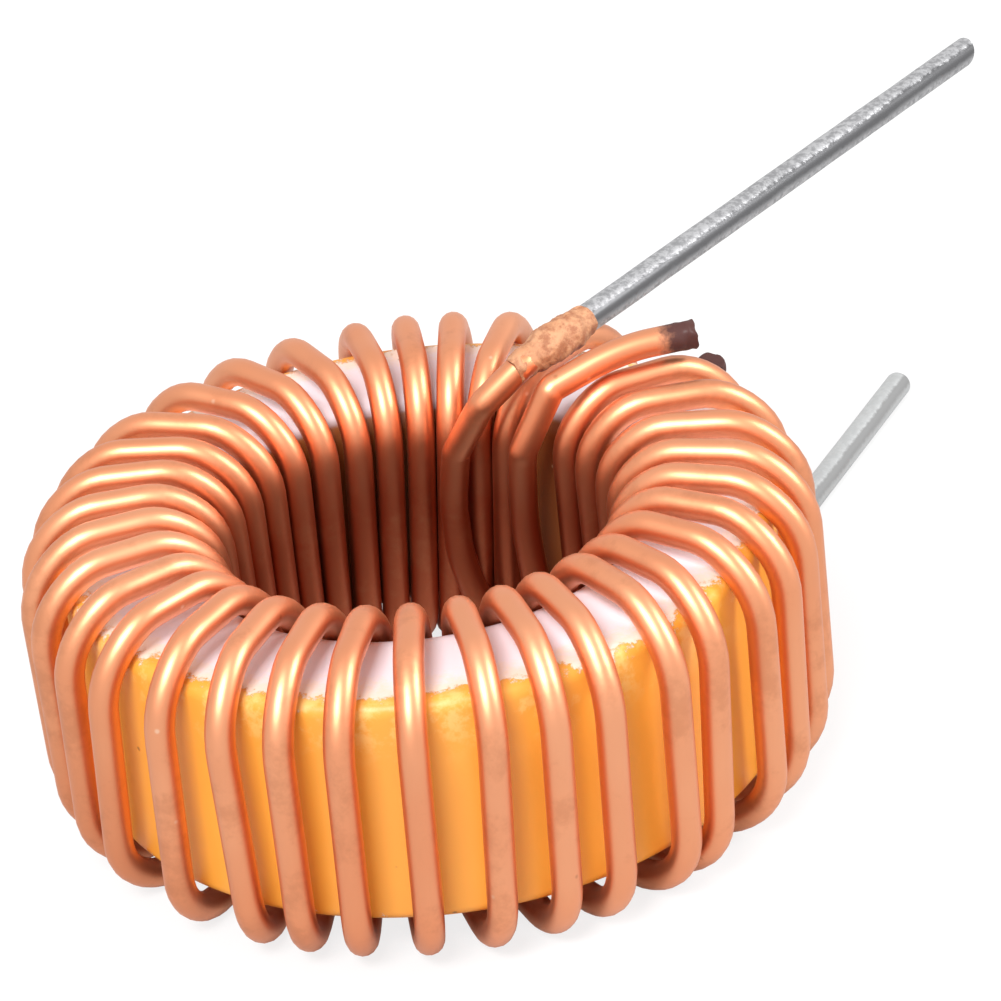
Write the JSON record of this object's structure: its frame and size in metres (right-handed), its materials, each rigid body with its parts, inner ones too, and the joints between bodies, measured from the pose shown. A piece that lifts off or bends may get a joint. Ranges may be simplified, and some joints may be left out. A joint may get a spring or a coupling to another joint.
{
  "type": "toroidal inductor",
  "caption": "Toroidal inductor: a painted iron-powder ring wound with one layer of thick enamelled copper wire, with two long tinned leads",
  "frame": {"origin": "On the ring's axis, at the plane that the turns stand on", "axes": "+Z along the ring's axis, away from the plane it stands on; the two leads leave between +X and +Y"},
  "size_m": [0.0307, 0.0328, 0.011],
  "materials": {
    "core_paint": "satin yellow paint on the outer wall, white paint on the flat faces",
    "enamelled_copper": "satin clear enamel over copper",
    "solder": "dull tinned, grainy",
    "burnt_enamel": "rough, matt, blistered"
  },
  "bodies": {
    "root": {"core": "core_paint", "winding": "enamelled_copper", "cut_turn": "enamelled_copper", "finish_lead_solder": "solder", "start_lead_solder": "solder", "burnt_enamel": "burnt_enamel"}
  },
  "joints": []
}
